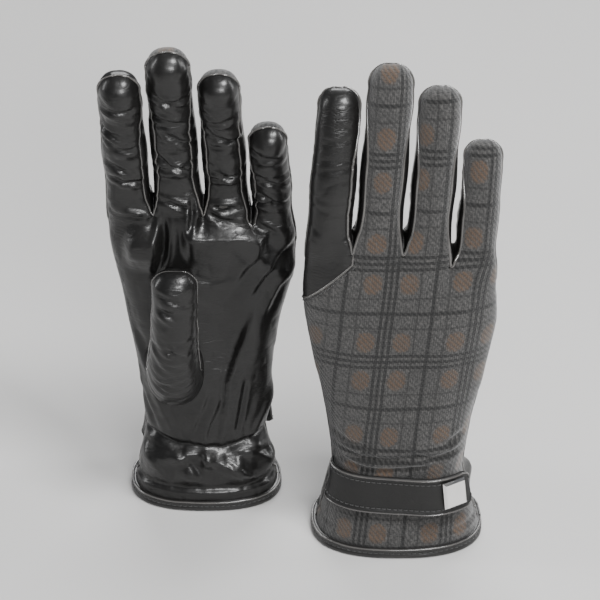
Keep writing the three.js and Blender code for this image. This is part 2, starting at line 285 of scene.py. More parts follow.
def stall_angles(share):
    c = ring_corner(share)
    front = np.linspace(-(np.pi - c), -c, COLS + 1)
    inner = np.linspace(-c, c, SIDE + 1)[1:-1]
    back = np.linspace(c, np.pi - c, COLS + 1)
    outer = np.linspace(np.pi - c, np.pi + c, SIDE + 1)[1:-1]
    return np.concatenate([front, inner, back, outer])


def stall_rows(finger, glove, base):
    """Rings of one finger above its base ring, which is lofted into the round section."""
    straight = finger["length"] - finger["depth"] * FINGER_TAPER / 2
    n = int(round(straight / STALL_STEP))
    centre_z = knuckle(finger["x"])
    rings = []
    for i in range(1, n + CAP_ROWS + 1):
        cap = max(0, i - n) / CAP_ROWS
        reach = min(cap, 0.985) * math.pi / 2
        s = straight * min(1, i / n)
        share = s / straight
        taper = 1 + (FINGER_TAPER - 1) * share
        swell = 1 + 0.03 * math.cos(share * 4 * math.pi) - 0.02
        # the tip narrows before it rounds over
        narrow = 1 - 0.07 * float(smooth(s, straight - 13, straight)) ** 2
        a = finger["width"] / 2 * taper * swell * narrow
        b = finger["depth"] / 2 * taper * swell * narrow
        round_off = math.cos(reach)
        ridge = 1.6
        w = ridge + (a - ridge) * round_off ** 0.95 if cap > 0 else a
        d = 0.25 + (b - 0.25) * round_off if cap > 0 else b
        n_here = 2.25 + 1.6 * (1 - smooth(s, 0, 22))
        x, y = superellipse(stall_angles((s + cap * 6) / (straight + 6)), w, d, n_here)
        slope = 2 * glove["curl"] * s / finger["length"] ** 2
        rise = min(finger["depth"], finger["width"]) / 2 * FINGER_TAPER * math.sin(reach)
        along = np.array([glove["lean"], -slope, 1.0])
        middle = np.array([
            finger["x"] + glove["lean"] * s,
            -glove["curl"] * (s / finger["length"]) ** 2,
            centre_z + s,
        ]) + rise * np.array([0, -slope, 1]) / math.hypot(slope, 1)
        ring = middle + np.stack([x, y, slope * y], -1)
        rise_share = smooth(s, 0, 13)
        start = base + along * s
        rings.append(start * (1 - rise_share) + ring * rise_share)
    return np.array(rings), n


# ---- a glove's skin as one mesh -----------------------------------------------------------------
class Skin:
    def __init__(self):
        self.points, self.uv, self.tags, self.count = [], [], [], 0
        self.faces, self.piece = [], []

    def add(self, points, uv, tag):
        ids = np.arange(self.count, self.count + len(points))
        self.points.append(points)
        self.uv.append(uv)
        self.tags.append(np.full(len(points), tag))
        self.count += len(points)
        return ids

    def quads(self, low, high, names):
        """Quads between two rings of vertex numbers; names gives a piece for each column."""
        for i in range(len(low)):
            j = (i + 1) % len(low)
            self.faces.append((low[i], low[j], high[j], high[i]))
            self.piece.append(names[i])

    def done(self):
        self.points = np.vstack(self.points)
        self.uv = np.vstack(self.uv)
        self.tags = np.concatenate(self.tags)
        return self


def vertex_normals(points, faces):
    tri = np.array(faces)
    d1, d2 = points[tri[:, 2]] - points[tri[:, 0]], points[tri[:, 3]] - points[tri[:, 1]]
    face = np.cross(d1, d2)
    normal = np.zeros_like(points)
    for k in range(4):
        np.add.at(normal, tri[:, k], face)
    return normal / np.maximum(1e-12, np.linalg.norm(normal, axis=1))[:, None]


def relax(points, faces, weight, rounds, strength=0.5):
    tri = np.array(faces)
    pairs = np.vstack([tri[:, [0, 1]], tri[:, [1, 2]], tri[:, [2, 3]], tri[:, [3, 0]]])
    degree = np.zeros(len(points))
    np.add.at(degree, pairs[:, 0], 1)
    np.add.at(degree, pairs[:, 1], 1)
    for _ in range(rounds):
        total = np.zeros_like(points)
        np.add.at(total, pairs[:, 0], points[pairs[:, 1]])
        np.add.at(total, pairs[:, 1], points[pairs[:, 0]])
        mean = total / np.maximum(1, degree)[:, None]
        points = points + (strength * weight)[:, None] * (mean - points)
    return points


def arc_lengths(ring, centre):
    """Signed distance round a ring of points from the column numbered centre."""
    step = np.linalg.norm(np.diff(np.vstack([ring, ring[:1]]), axis=0), axis=1)
    run = np.concatenate([[0], np.cumsum(step)[:-1]])
    return run - run[centre]


def build_skin(glove):
    hand = Hand(glove["sections"])
    skin = Skin()
    grid = hand_grid(hand)
    rows = []
    middle_back = B0 + FRONT_N // 2
    middle_front = F0 + FRONT_N // 2
    is_back = np.zeros(RING, bool)
    is_back[INNER_EDGE + 1 : OUTER_EDGE + 1] = True
    for flat in grid:
        back = arc_lengths(flat[:, :2], middle_back)
        front = arc_lengths(flat[:, :2], middle_front)
        u = np.where(is_back, -back, front)
        rows.append(skin.add(flat, np.stack([u, flat[:, 2]], -1), 0))
    top, top_uv = rows[-1], skin.uv[-1]

    # pieces of the hand, column by column
    below = np.array(["palm"] * RING, object)
    below[INNER_EDGE:OUTER_EDGE] = "back"
    above = below.copy()
    above[INDEX_BACK:OUTER_EDGE] = "index_root"
    for r in range(HAND_ROWS):
        skin.quads(rows[r], rows[r + 1], above if r >= DIAGONAL_ROW else below)

    # the crotches between the fingers
    lines = []
    for k in range(3):
        f, b = F0 + COLS * (k + 1), B0 + FRONT_N - 1 - COLS * (k + 1)
        t = np.linspace(0, 1, SIDE + 1)[1:-1, None]
        p = grid[-1][f] * (1 - t) + grid[-1][b] * t
        uv = top_uv[f] * (1 - t) + top_uv[b] * t
        lines.append(skin.add(p, uv, 0))

    stalls = []
    for k, finger in enumerate(FINGERS):
        front = top[F0 + COLS * k : F0 + COLS * (k + 1) + 1]
        b_end = B0 + FRONT_N - 1 - COLS * k
        back = top[b_end - COLS : b_end + 1]
        inner = lines[k] if k < 3 else top[P0 : P0 + SIDE - 1]
        outer = lines[k - 1][::-1] if k > 0 else top[S0 : S0 + SIDE - 1]
        ring_ids = np.concatenate([front, inner, back, outer])
        known = np.vstack(skin.points)
        base, base_uv = known[ring_ids], np.vstack(skin.uv)[ring_ids]
        rings, straight_rows = stall_rows(finger, glove, base)
        mid_f, mid_b = COLS // 2, COLS + SIDE + COLS // 2
        back_cols = np.zeros(len(ring_ids), bool)
        back_cols[COLS + 1 + SIDE // 2 - 1 : COLS + 1 + SIDE - 1 + COLS + 1 + SIDE // 2] = True
        names = np.array(
            [finger["name"] + "_front"] * COLS + [finger["name"] + "_inner"] * SIDE
            + [finger["name"] + "_back"] * COLS + [finger["name"] + "_outer"] * SIDE, object)
        if k == 0:
            names[2 * COLS + SIDE : 2 * COLS + SIDE + SIDE // 2] = "index_back"
            names[2 * COLS + SIDE + SIDE // 2 :] = "index_front"
        if k == 3:
            names[COLS : COLS + SIDE // 2] = "pinky_front"
            names[COLS + SIDE // 2 : COLS + SIDE] = "pinky_back"
        tip_names = [finger["name"] + "_front" if n.endswith(("inner", "outer")) else n for n in names]
        low, s = ring_ids, 0.0
        ids = [ring_ids]
        for i, ring in enumerate(rings):
            s += float(np.linalg.norm(ring.mean(0) - (rings[i - 1] if i else base).mean(0)))
            u = np.where(back_cols, -arc_lengths(ring, mid_b), arc_lengths(ring, mid_f))
            centre_u = np.where(back_cols, base_uv[mid_b, 0], base_uv[mid_f, 0])
            ease = smooth(s, 0, 13)
            u = base_uv[:, 0] * (1 - ease) + (u + centre_u) * ease
            v = base_uv[:, 1] * (1 - ease) + (knuckle(finger["x"])) * ease + s
            high = skin.add(ring, np.stack([u, v], -1), 10 + k)
            skin.quads(low, high, tip_names if i > straight_rows + 2 else names)
            ids.append(high)
            low = high
        # close the tip: the front meets the back
        f_ids = low[: COLS + 1]
        b_ids = low[COLS + SIDE : 2 * COLS + SIDE + 1][::-1]
        for j in range(COLS):
            skin.faces.append((f_ids[j], f_ids[j + 1], b_ids[j + 1], b_ids[j]))
            skin.piece.append(finger["name"] + "_front")
        stalls.append({"ids": np.array(ids), "straight": straight_rows})
    skin.hand, skin.rows, skin.stalls, skin.lines = hand, np.array(rows), stalls, lines
    return skin.done()


# ---- relief: folds, puffs and seams, in millimetres along the normal ------------------------------
PALM_SWELLS = [   # centre, half sizes, height, turn
    (9, 102, 14, 28, -3.4, 0), (25, 92, 7, 20, 2.2, 0.15), (-7, 156, 5, 7, 2.6, 0),
    (22, 146, 5.5, 5, 1.8, -0.4), (39, 146, 4.5, 6, 2.2, 0), (31, 133, 4.5, 16, 2.6, 0.75),
    (-30, 112, 8, 22, 1.6, 0), (28, 56, 4, 19, 2.2, -0.33),
    (13, 21.5, 10, 5.2, 4.2, -0.5), (30, 23.5, 4.8, 6, 3.8, 0.2), (1.5, 28, 3.2, 4, 3.4, 0.3),
    (-12, 29, 8, 3.4, 3.2, 0.35), (-24, 25, 5, 7, 2.6, 0.2), (-7, 18.5, 7, 4.2, 2.4, -0.3),
    (24, 31, 4, 2.6, 2.0, 0),
]
PALM_FOLDS = [   # points, rise on the right of the line, sharpness, reach
    ([(24, 110), (17, 89), (11, 70), (9.5, 54), (7, 37)][::-1], 2.4, 1.1, 8),
    ([(38, 80), (34, 72), (27, 52), (22, 38)][::-1], 2.0, 1.0, 6),
    ([(33, 92), (36, 66), (33, 44)][::-1], 1.6, 1.0, 5),
    ([(44, 146), (33, 134), (22, 116)], 2.2, 1.0, 5),
    ([(46, 132), (36, 120), (29, 104)], 1.8, 1.0, 6),
    ([(31, 150), (24, 139), (15, 122)], 1.8, 1.1, 7),
    ([(-36, 112), (-31, 92), (-22, 66), (-12, 42)], 1.7, 1.0, 7),
    ([(-28, 82), (-21, 60), (-14, 41)], 1.4, 0.9, 5),
    ([(3, 66), (-3, 50), (-8, 38)], 1.5, 0.9, 4.5),
    ([(9, 62), (3, 48), (0, 38)], 1.4, 0.9, 4),
    ([(-40, 176), (-29, 168), (-19, 160)], 1.5, 0.9, 4),
    ([(-40, 166), (-30, 162), (-20, 157.5)], 1.6, 0.9, 4),
    ([(-34, 137), (-25, 138), (-18, 142)][::-1], 1.0, 1.0, 5),
    ([(3, 31), (11, 26), (24, 15)], 1.7, 0.8, 4),
    ([(16, 32), (26, 27), (31, 16)], 1.5, 0.8, 4),
    ([(-19, 34), (-9, 28), (-2, 17)], 1.5, 0.8, 4),
    ([(-29, 34), (-22, 24), (-17, 14)], 1.2, 0.8, 4),
    ([(30, 36), (33, 28), (35, 17)], 1.2, 0.8, 3),
]
PALM_CREASES = [   # points, width, depth, shoulder
    ([(-17.8, 160), (-17.6, 150), (-18.4, 140), (-22, 128)], 1.6, 2.8, 0.6),
    ([(-4.5, 170), (-4.2, 160), (-6, 150)], 1.0, 1.3, 0.7),
    ([(3, 161), (9, 157), (17, 157)], 1.1, 1.2, 0.8),
    ([(6, 166), (13, 161), (22, 158)], 1.1, 1.1, 0.8),
    ([(20, 158), (27, 152), (33, 150)], 1.3, 1.4, 0.7),
    ([(-8, 128), (4, 125), (14, 127)], 1.4, 0.7, 0.6),
    ([(20, 70), (17, 52), (15, 40)], 1.0, 0.9, 0.7),
    ([(-34, 70), (-27, 54), (-22, 41)], 1.1, 0.9, 0.7),
]
BACK_FOLDS = [   # points, width, depth, shoulder
    ([(-31, 49), (-16, 46), (2, 46), (20, 47)], 1.5, 1.0, 0.9),
    ([(-30, 55), (-18, 51.5), (-4, 51), (8, 52)], 1.5, 0.9, 0.9),
    ([(30, 52), (16, 50.5), (4, 55)], 1.5, 0.8, 0.9),
    ([(-33, 62), (-24, 58), (-12, 57)], 1.6, 0.7, 0.8),
    ([(32, 62), (24, 58), (14, 60)], 1.6, 0.6, 0.8),
]
RIDGE_RISE, PAD_RISE = 5.0, 5.2          # below the knuckles, and below the index finger
LEATHER_FOLDING, INDEX_BACK_FOLDING, WOOL_FOLDING = 1.25, 1.0, 0.22
GATHER_PATH = [(-60, 38), (-24, 38.5), (-12, 34), (0, 33.5), (10, 32.5), (19, 35.5), (30, 37), (60, 36)]


def palm_relief(x, z, noise):
    h = np.zeros(x.shape)
    for cx, cz, sx, sz, height, turn in PALM_SWELLS:
        h += height * bump(x, z, cx, cz, sx, sz, turn)
    # the ridge below the knuckles swells and breaks over a sharp, level edge; the pad is rounder
    crest = 150.6 - 0.016 * np.maximum(0, x - 12) ** 2
    ridge = smooth(z, crest - 21, crest - 3.5) * (1 - smooth(z, crest - 2, crest + 5))
    h += RIDGE_RISE * ridge * smooth(x, -11, -4) * (1 - smooth(x, 22, 31))
    across = np.exp(-(((x + 27.5) / 7.5) ** 4))
    h += PAD_RISE * across * smooth(z, 128, 142) * (1 - smooth(z, 144 + 0.25 * (x + 27), 155))
    for points, rise, sharp, reach in PALM_FOLDS:
        h += fold(x, z, points, rise, 1.35 * sharp, reach)
    for points, width, depth, shoulder in PALM_CREASES:
        h += crease(x, z, points, width, depth, shoulder)
    # the gathers: pleats fan out above the elastic
    line = np.interp(x, *np.array(GATHER_PATH).T)
    wave = noise(x / 5.2 + 3, z / 60) + 0.5 * noise(x / 2.7 + 9, z / 40)
    above, below = smooth(z, line - 0.5, line + 3), 1 - smooth(z, line - 3, line + 0.5)
    h += 1.5 * wave * above * np.exp(-np.maximum(0, z - line) / 11)
    h += (0.9 + 0.9 * wave) * below * np.exp(-(((z - 25) / 9) ** 2))
    h -= 2.2 * np.exp(-(((z - line) / 1.7) ** 2))
    h -= 1.0 * np.exp(-(((z - 12.5) / 2.2) ** 2))
    return h


def back_relief(x, z, noise):
    h = -0.9 * np.exp(-(((z - 33.5) / 10) ** 4))
    for points, width, depth, shoulder in BACK_FOLDS:
        h += 1.4 * crease(x, z, points, width, depth, shoulder)
    h += 1.1 * noise(x / 24 + 2, z / 30 + 7) + 0.45 * noise(x / 10, z / 12)
    return h


def stall_relief(u, s, half, length, noise, rng, strength):
    """Folds across one face of a stall; u runs across it and s along it."""
    h = np.zeros(u.shape)
    for joint, count in ((0.07, 3), (0.33, 4), (0.58, 4), (0.8, 3)):
        for _ in range(count):
            y = (joint + rng.uniform(-0.055, 0.055)) * length
            tilt, bend = rng.uniform(-0.75, 0.2), rng.uniform(-1.4, 1.4)
            left, right = rng.uniform(-1.05, -0.35) * half, rng.uniform(0.35, 1.05) * half
            middle = (left + right) / 2
            points = [(left, y + tilt * left), (middle, y + tilt * middle + bend),
                      (right, y + tilt * right)]
            h += crease(u, s, points, rng.uniform(0.9, 1.4), strength * rng.uniform(0.5, 1.1), 0.7)
    joints = sum(np.exp(-(((s / length - j) / 0.11) ** 2)) for j in (0.05, 0.33, 0.58, 0.82))
    warp = 2.5 * noise(u / 9 + 4, s / 11)
    h -= strength * 0.55 * (0.35 + 0.65 * joints) * noise.ridged(u / 15 + 7, (s + warp) / 4.6, 5)
    return h


def seam_dip(columns, seams, ring, depth, width):
    """How far each column is drawn in by the seams near it."""
    h = np.zeros(len(columns))
    for seam in seams:
        gap = np.abs((columns - seam + ring / 2) % ring - ring / 2)
        h = np.minimum(h, -depth * np.exp(-((gap / width) ** 2)))
    return h


def shape_skin(skin, glove):
    """Relaxes the crotches, then raises the folds. Leaves the smooth points in skin.plain."""
    noise = Noise(glove["seed"])
    rng = np.random.default_rng(glove["seed"])
    p = skin.points
    near = np.zeros(len(p))
    for k, stall in enumerate(skin.stalls):
        ids = stall["ids"]
        rows = np.arange(len(ids))[:, None] * STALL_STEP
        near[ids] = np.maximum(near[ids], 1 - smooth(rows, 2, 11))
    for r in range(1, 12):
        near[skin.rows[-1 - r]] = 1 - smooth(r, 3, 11)
    for line in skin.lines:
        near[line] = 1
    p = relax(p, skin.faces, near, 14)
    skin.plain = p.copy()
    normal = vertex_normals(p, skin.faces)
    skin.normal = normal
    front, back = smooth(-normal[:, 1], -0.15, 0.45), smooth(normal[:, 1], -0.15, 0.45)
    h = np.zeros(len(p))

    hand = skin.rows.ravel()
    x, z = p[hand, 0], p[hand, 2]
    h[hand] += palm_relief(x, z, noise) * front[hand] + back_relief(x, z, noise) * back[hand]
    # valleys run down from the crotches, front and back
    for c in BOUNDS_X[1:4]:
        top = knuckle(c)
        deep = 2.0 * np.exp(-(((x - c) / 2.4) ** 2)) * smooth(z, top - 11, top)
        h[hand] -= deep * (front[hand] * 0.8 + back[hand] * 0.6)
    columns = np.arange(RING)
    dip = seam_dip(columns, (INNER_EDGE, OUTER_EDGE), RING, 0.55, 1.0)
    h[skin.rows] += dip[None, :]
    rise = p[:, 2]
    hem_ridge = 0.55 * np.exp(-(((rise - 9.2) / 0.9) ** 2))
    hem_groove = 0.6 * np.exp(-(((rise - 11.4) / 1.0) ** 2))
    h[hand] += (hem_ridge - hem_groove)[hand]

    for k, (finger, stall) in enumerate(zip(FINGERS, skin.stalls)):
        ids = stall["ids"][1:]
        n = ids.shape[1]
        s = skin.uv[ids, 1] - knuckle(finger["x"])
        half = finger["width"] / 2
        local = p[ids, 0] - finger["x"] - glove["lean"] * s
        ease = smooth(s, 0, 7)
        wf, wb = front[ids], back[ids]
        above = 1 - smooth(s, 2, 16)
        h[ids] += above * palm_relief(p[ids, 0], p[ids, 2], noise) * wf
        h[ids] += above * back_relief(p[ids, 0], p[ids, 2], noise) * wb
        size = half, finger["length"], noise, rng
        h[ids] += ease * wf * stall_relief(local, s, *size, LEATHER_FOLDING)
        backing = INDEX_BACK_FOLDING if k == 0 else WOOL_FOLDING
        h[ids] += ease * wb * stall_relief(local + 40, s, *size, backing)
        seams = (0, COLS, COLS + SIDE, 2 * COLS + SIDE)
        if k == 0:
            seams = (COLS, COLS + SIDE, 2 * COLS + SIDE + HALF_SIDE)
        if k == 3:
            seams = (0, COLS + HALF_SIDE, 2 * COLS + SIDE)
        dips = seam_dip(np.arange(n), seams, n, 0.5, 1.0)
        fade = 1 - smooth(np.arange(len(ids)), stall["straight"] - 4, stall["straight"] + 2)
        h[ids] += dips[None, :] * fade[:, None] * ease
    # the loose leather everywhere rolls and creases a little
    u, v = skin.uv[:, 0], skin.uv[:, 1]
    leathery = front + 0.4 * (1 - front) * (1 - back)
    rolls, creases = noise(u / 11 + 20, v / 9 + 3), noise.ridged(u / 7 + 2, v / 6.5 + 8, 5)
    h += leathery * (0.35 * rolls - 0.28 * creases)
    # two fingers lie too close above a crotch for the leather between them to swell
    between = (1 - front) * (1 - back)
    for finger, stall in zip(FINGERS, skin.stalls):
        ids = stall["ids"][1:]
        low = 1 - smooth(skin.uv[ids, 1] - knuckle(finger["x"]), 10, 20)
        h[ids] -= low * between[ids] * np.maximum(0, h[ids] + 0.25)
    floor_fade = smooth(p[:, 2], 0.5, 7)
    h = np.clip(h, -4.0, 5.2) * (0.25 + 0.75 * floor_fade)
    skin.points = p + h[:, None] * normal
    skin.points = relax(skin.points, skin.faces, np.full(len(p), 0.6), 1)
    skin.noise = noise
    return skin


# ---- the thumb ----------------------------------------------------------------------------------
THUMB_X, THUMB_LEAN, THUMB_GAP = -14.0, 0.03, 0.5
THUMB_STATIONS = np.array([
    (12.2, 0, 58, 0, 95), (12.6, 8, 64, 1.4, 97), (12.6, 15, 73, 2.2, 101), (12.2, 19.5, 86, 2.8, 107),
    (11.6, 21.5, 101, 3.2, 114), (11, 22, 117, 3.6, 123), (10.4, 21.6, 132.5, 4, 132.5),
], float)
THUMB_COLS, THUMB_ROWS = 68, 66
THUMB_SEAT_Z = 76.5                      # the middle of the thumb's base on the palm
THUMB_V, THUMB_HALF, THUMB_LENGTH = 60, 11, 97


def build_thumb(skin, glove):
    hand, noise = skin.hand, skin.noise
    rng = np.random.default_rng(glove["seed"] + 5)
    curve = catmull(THUMB_STATIONS, 60)
    share = np.linspace(0, 1, len(curve))
    front_y = float(hand.depth_at(0, THUMB_SEAT_Z)) + THUMB_GAP
    thumb = Skin()
    angle = np.linspace(0, 2 * np.pi, THUMB_COLS, endpoint=False)
    low, ids = None, []
    for i in range(THUMB_ROWS + CAP_ROWS + 1):
        t = min(1, i / THUMB_ROWS)
        cap = max(0, i - THUMB_ROWS) / CAP_ROWS
        reach = min(cap, 0.985) * math.pi / 2
        w, oy, oz, iy, iz = (np.interp(t, share, curve[:, k]) for k in range(5))
        outer, inner = np.array([0, -oy, oz]), np.array([0, -iy, iz])
        middle, up = (outer + inner) / 2, inner - outer
        d = np.linalg.norm(up) / 2
        up /= 2 * d
        flare = math.exp(-t * 14)
        w, d = w + 2.2 * flare, d + 2.4 * flare
        swell = 1 + 0.035 * math.cos((t - 0.1) * 2 * math.pi)
        w *= swell
        round_off = math.cos(reach)
        rise = min(w, d) * math.sin(reach)
        if cap > 0:
            w = 2.6 + (w - 2.6) * round_off ** 0.85
            d = 0.25 + (d - 0.25) * round_off
        x, y = superellipse(angle, w, d, 2.2)
        across = np.array([1.0, 0, 0])
        ahead = np.cross(across, up)
        middle[0] = THUMB_X + THUMB_LEAN * (middle[2] - THUMB_SEAT_Z)
        middle[1] -= front_y
        ring = middle + rise * ahead + x[:, None] * across + y[:, None] * up
        seat = 1 - smooth(t, 0, 0.22)
        level = hand.depth_at(ring[:, 0], ring[:, 2])
        on_palm = -(level + palm_relief(ring[:, 0], ring[:, 2], noise) - 1.2)
        ring[:, 1] += (on_palm + front_y) * seat
        v = np.full(THUMB_COLS, THUMB_V + 85 * t + 12 * cap)
        row = thumb.add(ring, np.stack([arc_lengths(ring, THUMB_COLS * 3 // 4), v], -1), i)
        if low is not None:
            names = ["thumb_back"] * (THUMB_COLS // 2) + ["thumb_front"] * (THUMB_COLS // 2)
            thumb.quads(low, row, names)
        low = row
        ids.append(row)
    half = THUMB_COLS // 2
    for j in range(1, half - 1):
        thumb.faces.append((low[j], low[j + 1], low[-j - 1], low[-j]))
        thumb.piece.append("thumb_front")
    thumb.done()
    ids = np.array(ids)
    thumb.points = relax(thumb.points, thumb.faces, (thumb.tags > 1) * 0.7, 3)
    thumb.plain = thumb.points.copy()
    normal = vertex_normals(thumb.points, thumb.faces)
    thumb.normal = normal
    wf = smooth(-normal[:, 1], -0.4, 0.4)
    p = thumb.points
    s = thumb.uv[:, 1] - THUMB_V
    size = THUMB_HALF, THUMB_LENGTH, noise, rng
    h = wf * stall_relief(p[:, 0] - THUMB_X, s, *size, 0.9) * smooth(s, 4, 14)
    h += 0.5 * wf * stall_relief(p[:, 0] - THUMB_X, s + 11, *size, 0.8) * smooth(s, 4, 14)
    dips = seam_dip(np.arange(THUMB_COLS), (0, half), THUMB_COLS, 0.5, 1.0)
    fade = 1 - smooth(np.arange(len(ids)), THUMB_ROWS - 2, THUMB_ROWS + 4)
    h[ids] += dips[None, :] * fade[:, None]
    h += 0.3 * noise(thumb.uv[:, 0] / 10 + 31, thumb.uv[:, 1] / 9)
    h *= smooth(thumb.tags, 0, 8)
    thumb.points = p + np.clip(h, -2.6, 2.6)[:, None] * normal
    thumb.ids = ids
    return thumb


# ---- objects ------------------------------------------------------------------------------------
def to_row(points, glove):
    """Millimetres in the glove's own frame, palm towards -Y, to metres in the row's frame."""
    x0, y0 = glove["place"]
    out = np.asarray(points, float).copy()
    out[..., 1] *= -glove["palm"]
    out[..., 0] += x0
    out[..., 1] += y0
    return out * MM


def new_mesh(name, points, faces, glove, material, uv=None):
    faces = [tuple(int(i) for i in f) for f in faces]
    if glove["palm"] > 0:
        faces = [f[::-1] for f in faces]
    mesh = bpy.data.meshes.new(name)
    mesh.from_pydata(to_row(points, glove).tolist(), [], faces)
    mesh.update()
    mesh.polygons.foreach_set("use_smooth", [True] * len(mesh.polygons))
    if uv is not None:
        layer = mesh.uv_layers.new(name="cloth")
        loops = np.zeros(len(mesh.loops), int)
        mesh.loops.foreach_get("vertex_index", loops)
        layer.data.foreach_set("uv", (uv[loops] * MM).astype(np.float32).ravel())
    mesh.materials.append(material)
    obj = bpy.data.objects.new(name, mesh)
    bpy.context.scene.collection.objects.link(obj)
    return obj


def piece_of(skin, names):
    """The points, UVs and faces of some of a skin's pieces, renumbered."""
    keep = [f for f, n in zip(skin.faces, skin.piece) if n in names]
    used = np.unique(np.array([i for f in keep for i in f]))
    number = {int(v): i for i, v in enumerate(used)}
    faces = [tuple(number[int(i)] for i in f) for f in keep]
    return skin.points[used], skin.uv[used], faces


def ring_faces(rings, columns, close_start=False, close_end=False):
    """Quads joining closed rings of points numbered ring by ring, with either end closed if asked."""
    faces = []
    for low in range(0, (rings - 1) * columns, columns):
        for j in range(columns):
            k = (j + 1) % columns
            faces.append((low + j, low + columns + j, low + columns + k, low + k))
    if close_start:
        faces.append(tuple(range(columns)))
    if close_end:
        faces.append(tuple((rings - 1) * columns + j for j in reversed(range(columns))))
    return faces


def outward(path):
    """Level unit vectors away from the glove's axis, for each point of a path."""
    return path * np.array([1, 1, 0]) / np.linalg.norm(path[:, :2], axis=1)[:, None]


def tube(path, radius, sides, normals):
    """Points and faces of a closed-ended tube along a path."""
    path = np.asarray(path, float)
    ahead = np.gradient(path, axis=0)
    ahead /= np.linalg.norm(ahead, axis=1)[:, None]
    side = np.cross(ahead, normals)
    side /= np.maximum(1e-9, np.linalg.norm(side, axis=1))[:, None]
    up = np.cross(side, ahead)
    turn = np.linspace(0, 2 * np.pi, sides, endpoint=False)
    radius = np.broadcast_to(radius, (len(path),))
    across = side[:, None] * np.cos(turn)[None, :, None]
    above = up[:, None] * np.sin(turn)[None, :, None]
    points = (path[:, None] + radius[:, None, None] * (across + above)).reshape(-1, 3)
    return points, ring_faces(len(path), sides, True, True)


def merged(parts):
    points, faces, base = [], [], 0
    for p, f in parts:
        points.append(p)
        faces += [tuple(i + base for i in face) for face in f]
        base += len(p)
    return np.vstack(points), faces


def stitches(path, normals, pitch=2.6, length=1.7, radius=0.27, lift=0.05):
    """A row of short threads lying along a path."""
    path = np.asarray(path, float)
    run = np.concatenate([[0], np.cumsum(np.linalg.norm(np.diff(path, axis=0), axis=1))])
    parts = []
    for start in np.arange(pitch / 2, run[-1] - length, pitch):
        at = start + length * np.array([0, 0.12, 0.5, 0.88, 1])
        p = np.stack([np.interp(at, run, path[:, k]) for k in range(3)], -1)
        n = np.stack([np.interp(at, run, normals[:, k]) for k in range(3)], -1)
        dip = np.array([-1.0, 0.1, 0.45, 0.1, -1.0])[:, None] * radius
        parts.append(tube(p + (lift + dip) * n, radius * np.array([0.5, 1, 1, 1, 0.5]), 5, n))
    return merged(parts)


# ---- materials ----------------------------------------------------------------------------------
class Shader:
    """A principled material with short names for the nodes it uses."""

    def __init__(self, name, **constants):
        self.material = bpy.data.materials.new(name)
        self.material.use_nodes = True
        self.tree = self.material.node_tree
        self.bsdf = self.tree.nodes["Principled BSDF"]
        for key, value in constants.items():
            self.bsdf.inputs[key.replace("_", " ")].default_value = value

    def node(self, kind, inputs=None, **settings):
        node = self.tree.nodes.new("ShaderNode" + kind)
        for key, value in settings.items():
            setattr(node, key, value)
        for key, value in (inputs or {}).items():
            if hasattr(value, "is_output"):
                self.tree.links.new(value, node.inputs[key])
            else:
                node.inputs[key].default_value = value
        return node

    def math(self, operation, *values):
        return self.node("Math", dict(enumerate(values)), operation=operation).outputs[0]

    def plus(self, a, b):
        return self.math("ADD", a, b)

    def minus(self, a, b):
        return self.math("SUBTRACT", a, b)

    def times(self, a, b):
        return self.math("MULTIPLY", a, b)

    def noise(self, vector, scale, detail=3.0, roughness=0.5, distortion=0.0):
        inputs = {"Vector": vector, "Scale": scale, "Detail": detail, "Roughness": roughness,
                  "Distortion": distortion}
        return self.node("TexNoise", inputs).outputs["Fac"]

    def cells(self, vector, scale):
        return self.node("TexVoronoi", {"Vector": vector, "Scale": scale}).outputs["Distance"]

    def scaled(self, vector, scale):
        return self.node("Mapping", {"Vector": vector, "Scale": scale}).outputs[0]

    def remap(self, value, low, high, to_low, to_high, smoothly=False):
        kind = "SMOOTHSTEP" if smoothly else "LINEAR"
        inputs = {"Value": value, "From Min": low, "From Max": high, "To Min": to_low, "To Max": to_high}
        return self.node("MapRange", inputs, interpolation_type=kind).outputs[0]

    def blend(self, share, a, b):
        node = self.node("Mix", data_type="RGBA")
        for socket, value in ((0, share), (6, a), (7, b)):
            if hasattr(value, "is_output"):
                self.tree.links.new(value, node.inputs[socket])
            else:
                node.inputs[socket].default_value = value
        return node.outputs[2]

    def coords(self, kind):
        return self.node("TexCoord").outputs[kind]

    def set(self, name, socket):
        self.tree.links.new(socket, self.bsdf.inputs[name])

    def bump(self, height, distance, strength=1.0, after=None):
        inputs = {"Height": height, "Distance": distance, "Strength": strength}
        if after:
            inputs["Normal"] = after
        return self.node("Bump", inputs).outputs[0]


def grey(value, warm=0.0):
    return (value * (1 + warm), value, value * (1 - warm), 1)


GRAIN_DEPTH, WRINKLE_DEPTH, ROLL_DEPTH = 0.00006, 0.00028, 0.0011   # metres
GRAIN_SCALE, PORE_SCALE, LINE_SHARPNESS = 1150, 2300, 4


